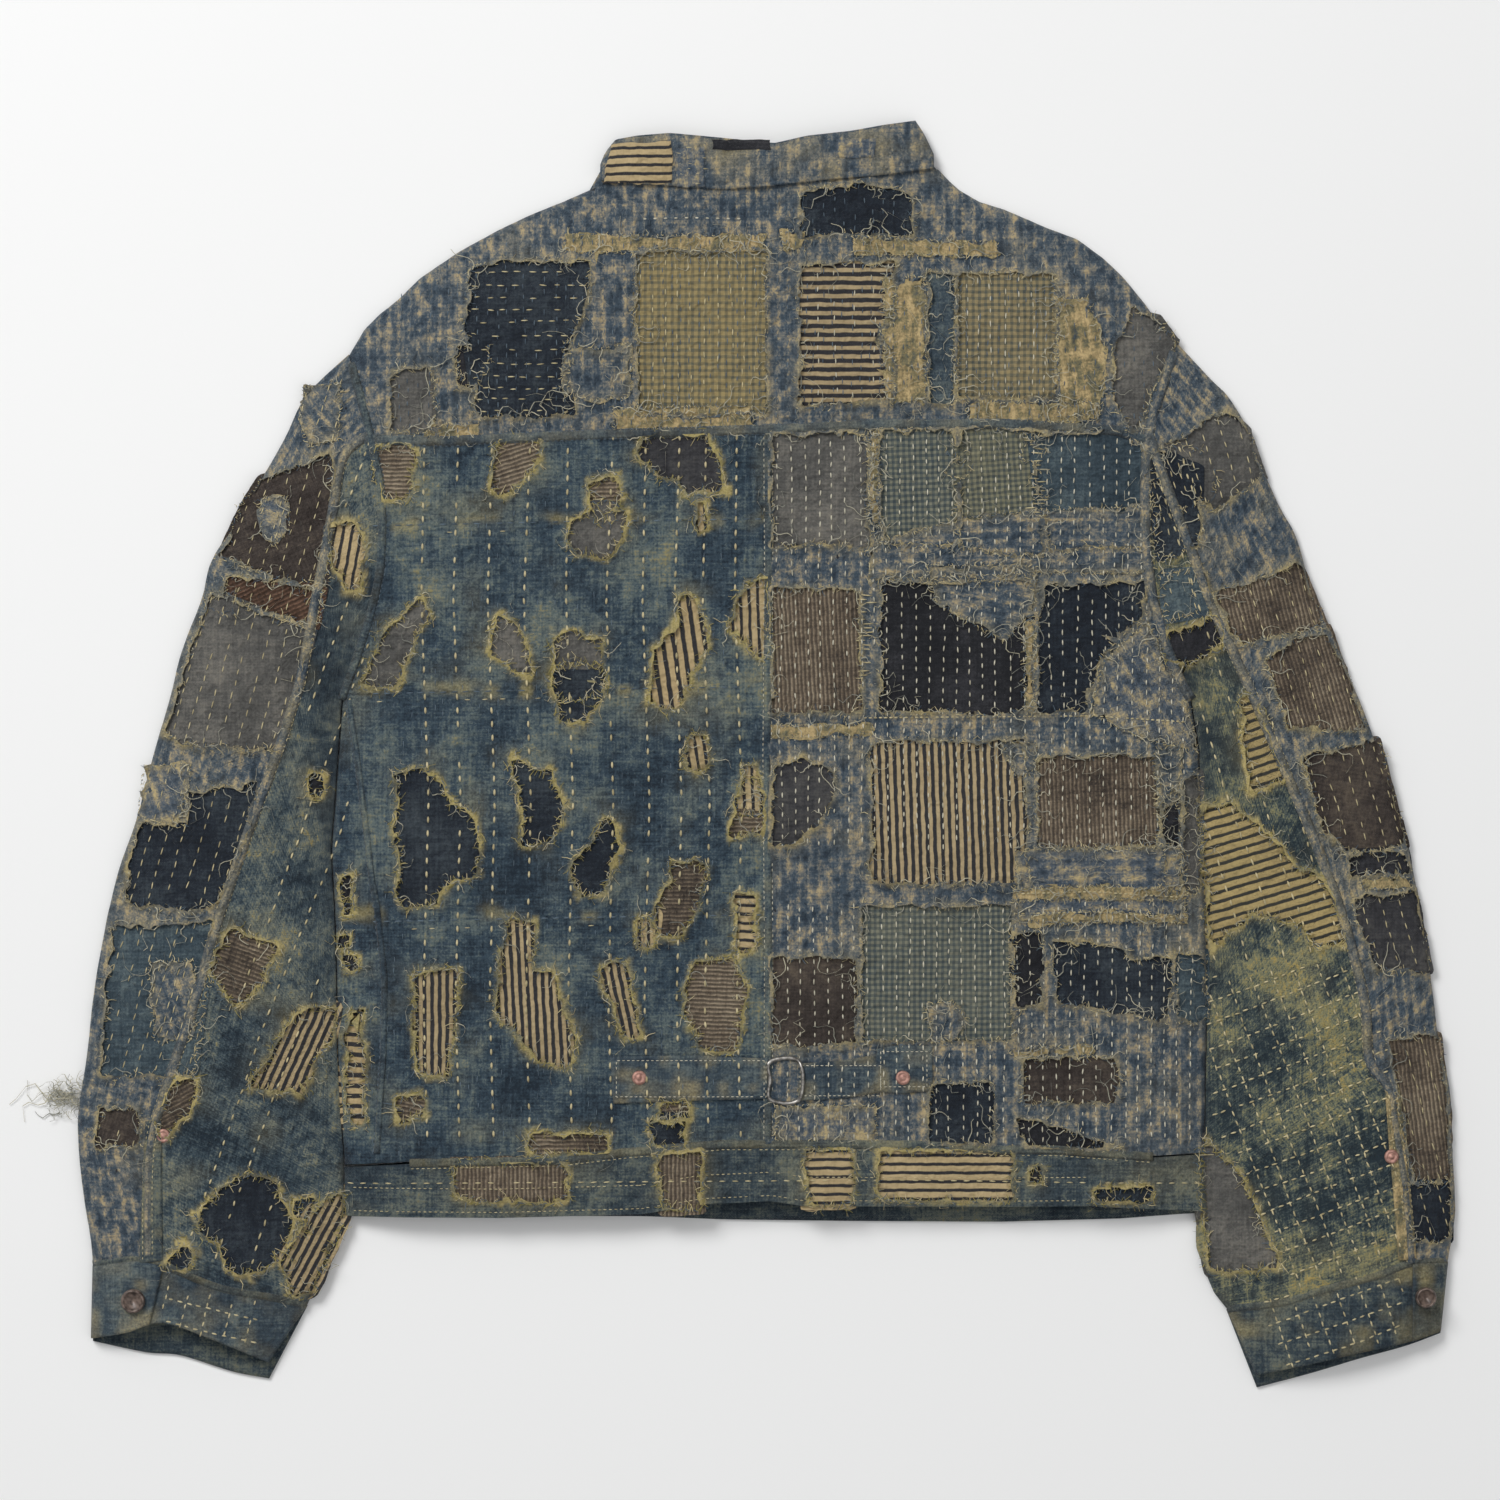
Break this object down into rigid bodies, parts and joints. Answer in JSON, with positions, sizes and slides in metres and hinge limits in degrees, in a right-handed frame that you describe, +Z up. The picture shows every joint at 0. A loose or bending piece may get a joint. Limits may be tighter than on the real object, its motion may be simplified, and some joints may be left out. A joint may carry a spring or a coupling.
{
  "type": "patched jacket",
  "caption": "Short trucker-style jacket of layered indigo cloth with patches, torn edges and running stitches, laid flat with its back up and its sleeves at its sides.",
  "frame": {"origin": "middle of the bounding box, on the surface that the jacket lies on", "axes": "+Y towards the collar, +X towards the wearer's right sleeve, +Z up out of the back"},
  "size_m": [0.9058, 0.7898, 0.0197],
  "materials": {
    "cloth": "matte",
    "patch_cloth": "matte",
    "rivet_metal": "satin",
    "button": "satin",
    "yarn": "matte"
  },
  "bodies": {
    "root": {"back_left": "cloth", "back_right": "cloth", "side_strip_left": "cloth", "back_yoke": "cloth", "front_left": "cloth", "front_right": "cloth", "waistband": "cloth", "sleeve_left_outer": "cloth", "sleeve_left_under": "cloth", "sleeve_right_outer": "cloth", "sleeve_right_under": "cloth", "cuff_left": "cloth", "cuff_right": "cloth", "collar_back": "cloth", "collar_leaf_left": "cloth", "collar_leaf_right": "cloth", "cinch_strap_left": "cloth", "cinch_strap_right": "cloth", "placket_left": "cloth", "placket_right": "cloth", "patch_yoke_navy": "patch_cloth", "patch_yoke_check": "patch_cloth", "patch_yoke_stripe": "patch_cloth", "patch_yoke_small_check": "patch_cloth", "patch_back_grey": "patch_cloth", "patch_back_check": "patch_cloth", "patch_back_teal": "patch_cloth", "patch_back_brown": "patch_cloth", "patch_back_black": "patch_cloth", "patch_back_navy": "patch_cloth", "patch_back_stripe": "patch_cloth", "patch_back_rib": "patch_cloth", "patch_back_plaid": "patch_cloth", "patch_back_blue": "patch_cloth", "patch_sleeve_left_brown": "patch_cloth", "patch_sleeve_left_grey": "patch_cloth", "patch_sleeve_left_teal": "patch_cloth", "patch_sleeve_right_rib": "patch_cloth", "patch_sleeve_right_grey": "patch_cloth", "cinch_keeper": "rivet_metal", "cinch_rivet_left": "rivet_metal", "cinch_rivet_right": "rivet_metal", "placket_rivet_left": "rivet_metal", "placket_rivet_right": "rivet_metal", "cuff_button_left": "button", "cuff_button_right": "button", "front_button_1": "button", "front_button_2": "button", "front_button_3": "button", "front_button_4": "button", "front_button_5": "button", "front_button_6": "button", "loose_yarn": "yarn"}
  },
  "joints": []
}
